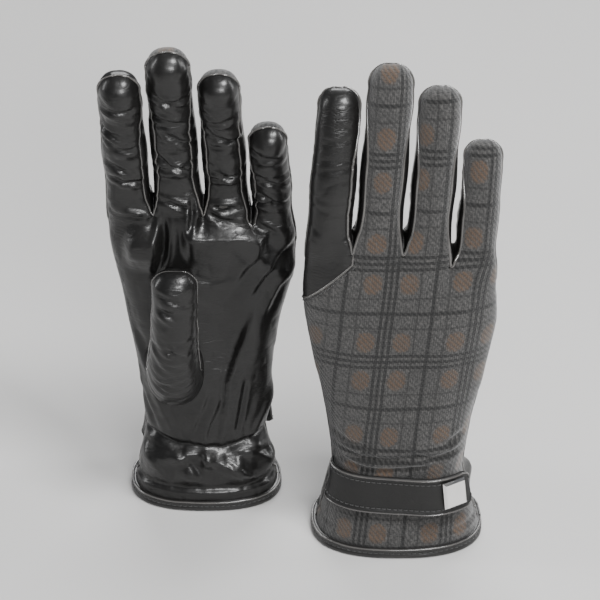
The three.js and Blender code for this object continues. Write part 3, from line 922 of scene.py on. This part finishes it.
def leather_material(name, coords, tone, roughness, wrinkle, coat=0.25):
    s = Shader(name, Coat_Weight=coat, Coat_Roughness=0.12, Specular_IOR_Level=0.4)
    at = s.coords(coords)
    soft = s.noise(at, 55, 3, 0.55)
    patches = s.noise(at, 18, 2)
    grain = s.cells(s.scaled(at, (1, 1.25, 1)), GRAIN_SCALE)
    pores = s.cells(at, PORE_SCALE)
    # fine wrinkles lie across the leather, in bands
    across = s.noise(s.scaled(at, (150, 430, 300)), 1, 1.5, 0.4, 0.6)
    lines = s.minus(1, s.math("ABSOLUTE", s.math("MULTIPLY_ADD", across, 2, -1)))
    lines = s.math("POWER", lines, LINE_SHARPNESS)
    band = s.remap(patches, 0.42, 0.68, 0.25, 1, True)
    tint = s.remap(soft, 0.3, 0.7, 0, 1)
    s.set("Base Color", s.blend(tint, grey(tone * 0.8, 0.03), grey(tone * 1.35, 0.05)))
    rough = s.plus(s.remap(patches, 0.3, 0.7, roughness - 0.05, roughness + 0.07),
                   s.remap(grain, 0, 0.6, 0.05, -0.02))
    s.set("Roughness", rough)
    fine = s.bump(s.plus(s.times(grain, 0.7), s.times(pores, 0.35)), GRAIN_DEPTH, 0.35)
    creased = s.bump(s.times(s.times(lines, -1), band), WRINKLE_DEPTH * wrinkle, 0.7, fine)
    s.set("Normal", s.bump(soft, ROLL_DEPTH * wrinkle, 0.7, creased))
    return s.material


CHECK_WIDE, CHECK_HIGH = 41.5, 51.0     # the check's repeat in mm
CHECK_X, CHECK_Z = 4.0, 2.0             # a group of dark lines crosses the knuckles here
CHECK_SLANT, CHECK_TOP = 0.1, 159.0     # the cloth lies a little askew on the hand
BLOCK_X, BLOCK_Z = 8.4, 10.3            # the rust blocks, from the group of dark lines
BLOCK_HALF_X, BLOCK_HALF_Z = 4.2, 5.1
YARN, RIB = 1.0, 2.6                    # mm: one yarn, and the twill's diagonal rib
RAGGED = 2.8                            # mm that a block's edge wanders
WEAVE_DEPTH, RIBBING = 0.00016, 0.0011  # metres
TWEED_DARK, TWEED_LIGHT, TWEED_FLECK, TWEED_BLACK = 0.019, 0.04, 0.085, 0.003
TWEED_RUST, TWEED_RUST_DEEP = (0.088, 0.055, 0.034, 1), (0.042, 0.026, 0.016, 1)


def tweed_material(name):
    s = Shader(name, Sheen_Weight=0.25, Sheen_Roughness=0.55, Specular_IOR_Level=0.25)
    at = s.coords("UV")
    wander = s.node("TexNoise", {"Vector": at, "Scale": 40.0, "Detail": 1.0}).outputs["Color"]
    part = s.node("SeparateXYZ", {0: at}).outputs
    stray = s.node("SeparateXYZ", {0: wander}).outputs
    u = s.plus(s.times(part[0], 1000), s.math("MULTIPLY_ADD", stray[0], 0.9, -0.45 + CHECK_X))
    v = s.plus(s.times(part[1], 1000), s.math("MULTIPLY_ADD", stray[1], 0.9, -0.45))
    askew = s.times(s.minus(s.math("MINIMUM", v, CHECK_TOP), CHECK_TOP), -CHECK_SLANT)
    u, v = s.plus(u, askew), s.minus(v, CHECK_Z)

    def stripe(value, place, repeat, half, edge):
        gap = s.math("PINGPONG", s.minus(value, place), repeat / 2)
        return s.remap(gap, half - edge, half + edge, 1, 0, True)

    def nearest(value, place, repeat, half):
        """How far a value is from the nearest of two mirrored places, as a share of half a block."""
        gaps = [s.math("PINGPONG", s.minus(value, x), repeat / 2) for x in (-place, place)]
        return s.math("DIVIDE", s.math("MINIMUM", *gaps), half)

    def strongest(values):
        out = values[0]
        for value in values[1:]:
            out = s.math("MAXIMUM", out, value)
        return out

    columns = strongest([stripe(u, x, CHECK_WIDE, 0.72, 0.3) for x in (-2.6, 0, 2.6)]
                        + [stripe(u, CHECK_WIDE / 2, CHECK_WIDE, 0.85, 0.35)]
                        + [s.times(stripe(u, x, CHECK_WIDE, 0.5, 0.3), 0.6) for x in (-13.9, 13.9)])
    rows = strongest([stripe(v, z, CHECK_HIGH, 0.8, 0.3) for z in (-3.1, 0, 3.1)]
                     + [stripe(v, CHECK_HIGH / 2, CHECK_HIGH, 0.95, 0.35)]
                     + [s.times(stripe(v, z, CHECK_HIGH, 0.5, 0.3), 0.6) for z in (-17.8, 17.8)])
    # the rust blocks: rounded, with a ragged edge
    ragged = s.math("MULTIPLY_ADD", s.noise(at, 620, 3, 0.6), RAGGED, -RAGGED / 2)
    off_u = nearest(s.plus(u, ragged), BLOCK_X, CHECK_WIDE, BLOCK_HALF_X)
    off_v = nearest(s.minus(v, ragged), BLOCK_Z, CHECK_HIGH, BLOCK_HALF_Z)
    block = s.remap(s.plus(s.math("POWER", off_u, 2.3), s.math("POWER", off_v, 2.3)), 0.6, 1.35, 1, 0, True)

    # a two-and-two twill: rounded yarns whose floats climb along a diagonal
    warp = s.math("SINE", s.times(u, 2 * math.pi / YARN))
    weft = s.math("SINE", s.times(v, 2 * math.pi / YARN))
    rib = s.math("SINE", s.times(s.plus(u, v), 2 * math.pi / (RIB * YARN)))
    over = s.remap(rib, -0.35, 0.35, 0, 1, True)
    under = s.minus(1, over)
    yarns = s.plus(s.times(warp, over), s.times(weft, under))
    fuzz = s.noise(at, 2600, 3, 0.7)
    fleck = s.noise(s.scaled(at, (1400, 420, 1)), 1, 2)
    fleck_across = s.noise(s.scaled(at, (420, 1400, 1)), 1, 2)

    ground = s.blend(s.remap(over, 0, 1, 0.15, 0.85), grey(TWEED_DARK, 0.02), grey(TWEED_LIGHT, 0.03))
    ground = s.blend(s.remap(fleck, 0.42, 0.66, 0, 0.6, True), ground, grey(TWEED_FLECK, 0.04))
    ground = s.blend(s.remap(fleck_across, 0.45, 0.68, 0, 0.55, True), ground, grey(TWEED_DARK * 0.55))
    worn = s.noise(at, 30, 3)
    ground = s.blend(s.remap(worn, 0.35, 0.7, 0, 0.35), ground, grey(TWEED_DARK))
    rust = s.blend(s.remap(fuzz, 0.35, 0.65, 0, 1), TWEED_RUST_DEEP, TWEED_RUST)
    mottle = s.times(s.remap(over, 0, 1, 0.45, 1.0), s.remap(fleck, 0.4, 0.65, 1.0, 0.6, True))
    coloured = s.blend(s.times(block, mottle), ground, rust)
    lines = s.times(s.math("MAXIMUM", s.times(columns, s.remap(over, 0, 1, 0.68, 1.0)),
                                      s.times(rows, s.remap(under, 0, 1, 0.68, 1.0))), 0.95)
    s.set("Base Color", s.blend(lines, coloured, grey(TWEED_BLACK)))
    s.set("Roughness", s.remap(fuzz, 0.2, 0.8, 0.72, 0.95))
    height = s.plus(s.times(yarns, 0.35),
                    s.plus(s.times(rib, 0.45), s.times(fuzz, 0.8)))
    s.set("Normal", s.bump(height, WEAVE_DEPTH, 0.8))
    return s.material


def knit_material(name):
    s = Shader(name, Sheen_Weight=0.3, Sheen_Roughness=0.6, Roughness=0.95, Specular_IOR_Level=0.2)
    at = s.coords("Object")
    fluff = s.noise(at, 900, 4, 0.7)
    nap = s.noise(at, 120, 3)
    s.set("Base Color", s.blend(s.remap(nap, 0.3, 0.7, 0, 1), grey(0.035, 0.05), grey(0.085, 0.05)))
    s.set("Normal", s.bump(s.plus(fluff, nap), 0.0006, 0.7))
    return s.material


def webbing_material(name):
    s = Shader(name, Roughness=0.8, Specular_IOR_Level=0.3)
    at = s.coords("Object")
    z = s.node("SeparateXYZ", {0: at}).outputs[2]
    ribs = s.math("SINE", s.times(z, 2 * math.pi / RIBBING))
    s.set("Base Color", s.blend(s.remap(ribs, -1, 1, 0, 1), grey(0.01), grey(0.035)))
    s.set("Normal", s.bump(s.plus(ribs, s.noise(at, 1500)), 0.0002, 0.6))
    return s.material


def nickel_material(name):
    s = Shader(name, Metallic=1.0, Coat_Weight=0.1, Coat_Roughness=0.1)
    at = s.coords("Object")
    brushed = s.noise(s.scaled(at, (300, 300, 5200)), 1, 3)
    handled = s.noise(at, 140, 3)
    s.set("Base Color", s.blend(s.remap(handled, 0.3, 0.7, 0, 1), grey(0.82, 0.02), grey(0.93, 0.015)))
    s.set("Roughness", s.plus(s.remap(brushed, 0.3, 0.7, 0.1, 0.2), s.remap(handled, 0.4, 0.8, 0, 0.1)))
    s.set("Normal", s.bump(brushed, 0.00004, 0.4))
    return s.material


def thread_material(name):
    s = Shader(name, Sheen_Weight=0.15, Specular_IOR_Level=0.4)
    at = s.coords("Object")
    twist = s.noise(at, 2500, 2)
    s.set("Base Color", s.blend(twist, grey(0.012), grey(0.045)))
    s.set("Roughness", s.remap(twist, 0.3, 0.7, 0.5, 0.7))
    s.set("Normal", s.bump(twist, 0.0001, 0.6))
    return s.material


MATERIAL = {
    "leather": leather_material("black_nappa", "UV", 0.005, 0.37, 0.8, 0.14),
    "trim": leather_material("black_nappa_trim", "Object", 0.008, 0.34, 0.3, 0.3),
    # the piping's tone is twelve times the black leather's: a painted highlight standing for light caught
    # along the black leather edges of seams, hem and strap
    "piping": leather_material("piping_lightened_as_painted_highlight", "Object", 0.06, 0.2, 0.2, 0.9),
    "strap": leather_material("strap_leather", "Object", 0.005, 0.48, 0.4, 0.06),
    "tweed": tweed_material("checked_wool"),
    "lining": knit_material("brushed_knit"),
    "elastic": webbing_material("ribbed_elastic"),
    "nickel": nickel_material("polished_nickel"),
    "thread": thread_material("black_thread"),
}


# ---- pieces -------------------------------------------------------------------------------------
def row_point(x, y, z, glove):
    return tuple(float(c) for c in to_row(np.array([x, y, z]), glove))


class Rider:
    """How a piece is held: attached to one body, or, given the ends of a joint from the hand to another body,
    left unparented where it stands; nothing makes it bend.
    """

    def __init__(self, glove, body, start=None, end=None):
        self.hand, self.body = glove["side"] + "_hand", glove["side"] + "_" + body
        self.span = start and (row_point(*start, glove), row_point(*end, glove))

    def take(self, obj):
        if self.span:
            self.hand
            self.body
            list(self.span)
            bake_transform(obj)
        else:
            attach(obj, self.body)
        return obj


def piping(name, skin, paths, radius, glove, rider, over_tip=False):
    """A rounded edge along each seam, in leather lightened as a painted highlight; one that turns over a tip
    thins there.
    """
    parts = []
    for ids in paths:
        thin = np.ones(len(ids))
        if over_tip:
            height = skin.points[ids, 2]
            thin = 1 - 0.4 * smooth(height, height.max() - 5, height.max() - 0.5)
        lift = 0.22 * thin - 0.1 * (thin < 0.9)
        path = skin.points[ids] + lift[:, None] * skin.normal[ids]
        parts.append(tube(path, radius * thin, 8, skin.normal[ids]))
    points, faces = merged(parts)
    return rider.take(new_mesh(name, points, faces, glove, MATERIAL["piping"]))


def inner_cloth(name, skin, ids, inset, glove, rider, node, close_top=False):
    """A lining: the skin's rings, smoothed and drawn inwards, facing in."""
    calm = relax(skin.points, skin.faces, np.ones(len(skin.points)), 6)
    points = calm[ids] - inset * skin.normal[ids]
    faces = ring_faces(*ids.shape, close_end=close_top)
    obj = new_mesh(name, points.reshape(-1, 3), faces, glove, MATERIAL["lining"])
    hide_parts(node)
    return rider.take(obj)


def add_skin_piece(name, skin, names, glove, rider, nodes, cloth):
    points, uv, faces = piece_of(skin, names)
    obj = new_mesh(name, points, faces, glove, MATERIAL[cloth], uv)
    for node in nodes:
        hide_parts(node)
    return rider.take(obj)


def make_hand(skin, glove):
    side, hand = glove["side"], Rider(glove, "hand")
    add_skin_piece(side + "_palm_leather", skin, ("palm",), glove, hand, [side + "_palm_panel"], "leather")
    add_skin_piece(side + "_back_wool", skin, ("back",), glove, hand, [side + "_back_panel"], "tweed")
    add_skin_piece(side + "_index_root_leather", skin, ("index_root",), glove, hand, [], "leather")
    diagonal = np.concatenate([
        skin.rows[DIAGONAL_ROW:, INDEX_BACK][::-1],
        skin.rows[DIAGONAL_ROW, INDEX_BACK + 1 : OUTER_EDGE + 1],
    ])
    paths = [skin.rows[3:, INNER_EDGE], skin.rows[3:, OUTER_EDGE], diagonal]
    piping(side + "_hand_piping", skin, paths, 0.5, glove, hand)
    threads = []
    for ids, away in ((diagonal[8:], -1), (skin.rows[6:-2, OUTER_EDGE], 1)):
        path, normal = skin.points[ids], skin.normal[ids]
        ahead = np.gradient(path, axis=0)
        across = np.cross(normal, ahead)
        across /= np.linalg.norm(across, axis=1)[:, None]
        threads.append(stitches(path + away * 1.6 * across + 0.12 * normal, normal))
    points, faces = merged(threads)
    hand.take(new_mesh(side + "_seam_stitches", points, faces, glove, MATERIAL["thread"]))
    ids = skin.rows[1::3][:, ::2]
    inner_cloth(side + "_hand_knit", skin, ids, 2.5, glove, hand, side + "_hand_lining")


WEBBING_LOW, WEBBING_INSETS = 31, (0.9, 1.4)


def make_elastic(skin, glove):
    columns = np.arange(4, FRONT_N - 4, 3)
    rows = np.argmin(np.abs(skin.plain[skin.rows[:, FRONT_N // 2], 2] - WEBBING_LOW)) + np.arange(9)
    ids = skin.rows[rows][:, columns]
    calm = relax(skin.points, skin.faces, np.ones(len(skin.points)), 4)
    r, c = ids.shape
    layers = [calm[ids] - inset * skin.normal[ids] for inset in WEBBING_INSETS]
    points = np.concatenate([layer.reshape(-1, 3) for layer in layers])
    n, faces = r * c, []
    for i in range(r - 1):
        for j in range(c - 1):
            a, b, d, e = i * c + j, i * c + j + 1, (i + 1) * c + j + 1, (i + 1) * c + j
            faces += [(a, b, d, e), (n + a, n + e, n + d, n + b)]
    rim = list(range(c)) + [i * c + c - 1 for i in range(1, r)]
    rim += [(r - 1) * c + j for j in reversed(range(c - 1))] + [i * c for i in reversed(range(1, r - 1))]
    for a, b in zip(rim, rim[1:] + rim[:1]):
        faces.append((b, a, n + a, n + b))
    obj = new_mesh(glove["side"] + "_wrist_webbing", points, faces, glove, MATERIAL["elastic"])
    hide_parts(glove["side"] + "_wrist_elastic")
    Rider(glove, "hand").take(obj)


HEM_PROFILE = [   # out from the skin, and height
    (-2.9, 0.9), (-2.6, 0.3), (-1.8, 0.06), (-0.4, 0.05), (0.6, 0.12), (1.2, 0.55), (1.42, 1.3), (1.34, 2.2),
    (1.0, 2.75), (1.3, 3.3), (1.42, 4.0), (1.15, 4.7), (0.5, 5.1), (-0.2, 5.0),
]
HEM_GROOVE, HEM_EDGE = 8, 11     # points of the profile


def make_hem(skin, glove):
    """The binding: leather folded over the cuff's edge, with a stitched groove along it."""
    steps = 320
    hand, noise = skin.hand, skin.noise
    angle = np.linspace(0, 2 * np.pi, steps, endpoint=False)
    rings = []
    for out, z in HEM_PROFILE:
        a, b = hand.half(z)
        ripple = 0.16 * noise(np.cos(angle) * 6 + 9, np.sin(angle) * 6 + z * 0.35) * smooth(z, 0, 1.5)
        x, y = superellipse(angle, a + out, b + out)
        length = np.hypot(x, y)
        rings.append(np.stack([x * (1 + ripple / length), y * (1 + ripple / length), np.full(steps, z)], -1))
    faces = [(a, d, c, b) for a, b, c, d in ring_faces(len(rings), steps)]
    name = glove["side"] + "_hem_leather"
    obj = new_mesh(name, np.vstack(rings), faces, glove, MATERIAL["trim"])
    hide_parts(glove["side"] + "_hem_binding")
    Rider(glove, "hand").take(obj)
    edge = np.vstack([rings[HEM_EDGE], rings[HEM_EDGE][:2]])
    points, faces = tube(edge + 0.1 * outward(edge), 0.42, 8, outward(edge))
    obj = new_mesh(glove["side"] + "_hem_piping", points, faces, glove, MATERIAL["piping"])
    Rider(glove, "hand").take(obj)
    groove = np.vstack([rings[HEM_GROOVE], rings[HEM_GROOVE][:1]])
    points, faces = stitches(groove, outward(groove), lift=0.22)
    obj = new_mesh(glove["side"] + "_hem_stitches", points, faces, glove, MATERIAL["thread"])
    Rider(glove, "hand").take(obj)


def finger_rider(finger, stall, skin, glove):
    low = float(skin.plain[stall["ids"][0], 2].max()) + 0.05
    return Rider(glove, finger["name"], (finger["x"], 0, low), (finger["x"], 0, low + 19))


def make_fingers(skin, glove):
    side = glove["side"]
    for k, (finger, stall) in enumerate(zip(FINGERS, skin.stalls)):
        name, ids = finger["name"], stall["ids"]
        rider = finger_rider(finger, stall, skin, glove)
        walls = {"front": "leather", "back": "leather" if k == 0 else "tweed"}
        if k < 3:
            walls["inner"] = "leather"
        if k > 0:
            walls["outer"] = "leather"
        for wall, cloth in walls.items():
            node = f"{side}_{name}_{wall}" + ("_fourchette" if wall in ("inner", "outer") else "")
            piece = f"{side}_{name}_{wall}_{'wool' if cloth == 'tweed' else 'leather'}"
            add_skin_piece(piece, skin, (f"{name}_{wall}",), glove, rider, [node], cloth)
        inner = COLS + SIDE - (HALF_SIDE if k == 3 else 0)
        outer = 2 * COLS + SIDE + (HALF_SIDE if k == 0 else 0)
        over_tip = np.concatenate([ids[:-1, inner], ids[-1, inner : outer + 1], ids[:-1, outer][::-1]])
        piping(f"{side}_{name}_back_piping", skin, [over_tip], 0.66, glove, rider, over_tip=True)
        front = [ids[: stall["straight"] + 3, c] for c, there in ((0, k > 0), (COLS, k < 3)) if there]
        piping(f"{side}_{name}_front_piping", skin, front, 0.42, glove, rider)
        rows = np.r_[0 : stall["straight"] + 9 : 3]
        inner_cloth(f"{side}_{name}_knit", skin, ids[rows][:, ::2], 1.75, glove, rider,
                    f"{side}_{name}_lining", close_top=True)


def make_thumb(skin, glove):
    side, thumb = glove["side"], build_thumb(skin, glove)
    front = -float(skin.hand.depth_at(0, THUMB_SEAT_Z)) - THUMB_GAP
    rider = Rider(glove, "thumb", (THUMB_X, front, 95), (THUMB_X, front - 10.2, 95 + 8.1))
    for wall in ("front", "back"):
        piece = f"{side}_thumb_{wall}_leather"
        add_skin_piece(piece, thumb, (f"thumb_{wall}",), glove, rider, [f"{side}_thumb_{wall}"], "leather")
    half = THUMB_COLS // 2
    over_tip = np.concatenate([thumb.ids[6:, 0], thumb.ids[6:-1, half][::-1]])
    piping(f"{side}_thumb_piping", thumb, [over_tip], 0.42, glove, rider, over_tip=True)
    rows = np.r_[8 : THUMB_ROWS + 9 : 3]
    inner_cloth(f"{side}_thumb_knit", thumb, thumb.ids[rows][:, ::2], 1.75, glove, rider,
                f"{side}_thumb_lining", close_top=True)


STRAP = {"low": 24.0, "high": 43.0, "from": 172.0, "to": 29.0, "clear": 0.6, "stud_clear": 4.0,
         "lift_from": 100.0, "lift_to": 64.0, "round": 4.5}
STRAP_PROFILE = [   # share of the half width, and height off the inner face
    (-1.0, 0.55), (-0.985, 1.15), (-0.94, 1.75), (-0.86, 1.98), (-0.78, 1.72), (-0.7, 1.58), (-0.6, 1.74),
    (-0.2, 1.86), (0.2, 1.86), (0.6, 1.74), (0.7, 1.58), (0.78, 1.72), (0.86, 1.98), (0.94, 1.75),
    (0.985, 1.15), (1.0, 0.55), (0.97, 0.08), (0.5, 0.0), (-0.5, 0.0), (-0.97, 0.08),
]
STITCH_AT = 0.7


def make_strap(skin, glove):
    hand, noise, side = skin.hand, skin.noise, glove["side"]
    steps = 110
    angles = np.radians(np.linspace(STRAP["from"], STRAP["to"], steps))
    middle = (STRAP["low"] + STRAP["high"]) / 2
    a, b = hand.half(middle)
    x, y = superellipse(angles, a, b)
    run = np.concatenate([[0], np.cumsum(np.hypot(np.diff(x), np.diff(y)))])
    degrees = np.degrees(angles)
    lift = smooth(STRAP["lift_from"] - degrees, 0, STRAP["lift_from"] - STRAP["lift_to"])
    clear = STRAP["clear"] + (STRAP["stud_clear"] - STRAP["clear"]) * lift
    clear -= 1.5 * (1 - smooth(run, 0, 7))
    to_end = run[-1] - run
    half = (STRAP["high"] - STRAP["low"]) / 2
    corner = np.clip(STRAP["round"] - to_end, 0, STRAP["round"])
    half_here = half - STRAP["round"] + np.sqrt(STRAP["round"] ** 2 - corner**2 + 1e-9)
    thin = 1 - 0.45 * (1 - smooth(run, 0, 4))

    def surface(i, share, out):
        z = middle + share * half_here[i]
        wa, wb = hand.half(z)
        px, py = superellipse(angles[i], wa + clear[i] + out * thin[i], wb + clear[i] + out * thin[i])
        wave = 0.22 * noise(run[i] / 9 + 2, z * 0 + share * 0.8 + 3)
        length = math.hypot(px, py)
        return np.array([px * (1 + wave / length), py * (1 + wave / length), z])

    points = np.array([surface(i, s, o) for i in range(steps) for s, o in STRAP_PROFILE])
    n = len(STRAP_PROFILE)
    faces = ring_faces(steps, n, True, True)
    start = points[:n].mean(0)
    end = points[12 * n : 13 * n].mean(0)
    rider = Rider(glove, "strap", tuple(start), tuple(end))
    obj = new_mesh(side + "_strap_leather", points, faces, glove, MATERIAL["strap"])
    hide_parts(side + "_strap")
    rider.take(obj)
    rows = []
    for share in (-STITCH_AT, STITCH_AT):
        path = np.array([surface(i, share, 1.66) for i in range(4, steps - 3)])
        rows.append(stitches(path, outward(path)))
    points, faces = merged(rows)
    rider.take(new_mesh(side + "_strap_stitches", points, faces, glove, MATERIAL["thread"]))
    last = steps - 1
    around = [surface(i, -0.93, 1.7) for i in range(3, last)]
    around += [surface(last, share, 1.1) for share in np.linspace(-0.85, 0.85, 9)]
    around += [surface(i, 0.93, 1.7) for i in reversed(range(3, last))]
    around = np.array(around)
    points, faces = tube(around, 0.42, 8, outward(around))
    rider.take(new_mesh(side + "_strap_piping", points, faces, glove, MATERIAL["piping"]))


for side, glove in GLOVES.items():
    glove["side"] = side
    skin = shape_skin(build_skin(glove), glove)
    make_hand(skin, glove)
    make_elastic(skin, glove)
    make_hem(skin, glove)
    make_fingers(skin, glove)
    make_thumb(skin, glove)
    make_strap(skin, glove)
    for metal in ("snap_cap", "snap_socket", "snap_stud"):
        node = frame["nodes"][f"{side}_{metal}"]
        node.data.materials.clear()
        node.data.materials.append(MATERIAL["nickel"])


# ---- floor, light and camera --------------------------------------------------------------------
FLOOR_REACH = 4.0
FLOOR_DARK, FLOOR_LIGHT = (0.47, 0.466, 0.46, 1), (0.51, 0.506, 0.5, 1)


def floor():
    mesh = bpy.data.meshes.new("floor")
    corners = [(x * FLOOR_REACH, y * FLOOR_REACH, 0) for x, y in ((-1, -1), (1, -1), (1, 1), (-1, 1))]
    mesh.from_pydata(corners, [], [(0, 1, 2, 3)])
    s = Shader("pale_floor", Roughness=0.7)
    mottled = s.noise(s.coords("Object"), 6, 3)
    s.set("Base Color", s.blend(mottled, FLOOR_DARK, FLOOR_LIGHT))
    mesh.materials.append(s.material)
    obj = bpy.data.objects.new("floor", mesh)
    bpy.context.scene.collection.objects.link(obj)


def area(name, place, size, power):
    data = bpy.data.lights.new(name, "AREA")
    data.shape, data.size, data.size_y = "RECTANGLE", size[0], size[1]
    data.energy = power
    obj = bpy.data.objects.new(name, data)
    obj.location = place
    obj.rotation_euler = (Vector(CENTRE) - Vector(place)).to_track_quat("-Z", "Y").to_euler()
    bpy.context.scene.collection.objects.link(obj)


CENTRE = (0.0, 0.0, 0.118)
ELEVATION, DISTANCE, LENS = math.radians(33.0), 1.7, 218.0
SKY, SKY_STRENGTH = (0.9, 0.93, 1.0, 1), 0.14

floor()
area("key", (0.42, -0.42, 1.25), (0.38, 0.38), 22)
area("back", (0.1, 1.0, 0.95), (1.0, 0.4), 15)
area("left_rim", (-1.05, 0.1, 0.55), (0.18, 0.8), 5)
area("right_rim", (1.05, 0.15, 0.5), (0.18, 0.8), 5.5)
area("front", (0.3, -1.2, 0.8), (0.5, 0.3), 17)

world = bpy.data.worlds.new("studio")
bpy.context.scene.world = world
world.use_nodes = True
background = world.node_tree.nodes["Background"]
background.inputs["Color"].default_value = SKY
background.inputs["Strength"].default_value = SKY_STRENGTH

lens = bpy.data.cameras.new("camera")
lens.lens, lens.sensor_width = LENS, 36.0
lens.clip_start, lens.clip_end = 0.05, 20.0
camera = bpy.data.objects.new("camera", lens)
back = Vector((0, -math.cos(ELEVATION), math.sin(ELEVATION)))
camera.location = Vector(CENTRE) + DISTANCE * back
camera.rotation_euler = (-back).to_track_quat("-Z", "Y").to_euler()
bpy.context.scene.collection.objects.link(camera)
bpy.context.scene.camera = camera
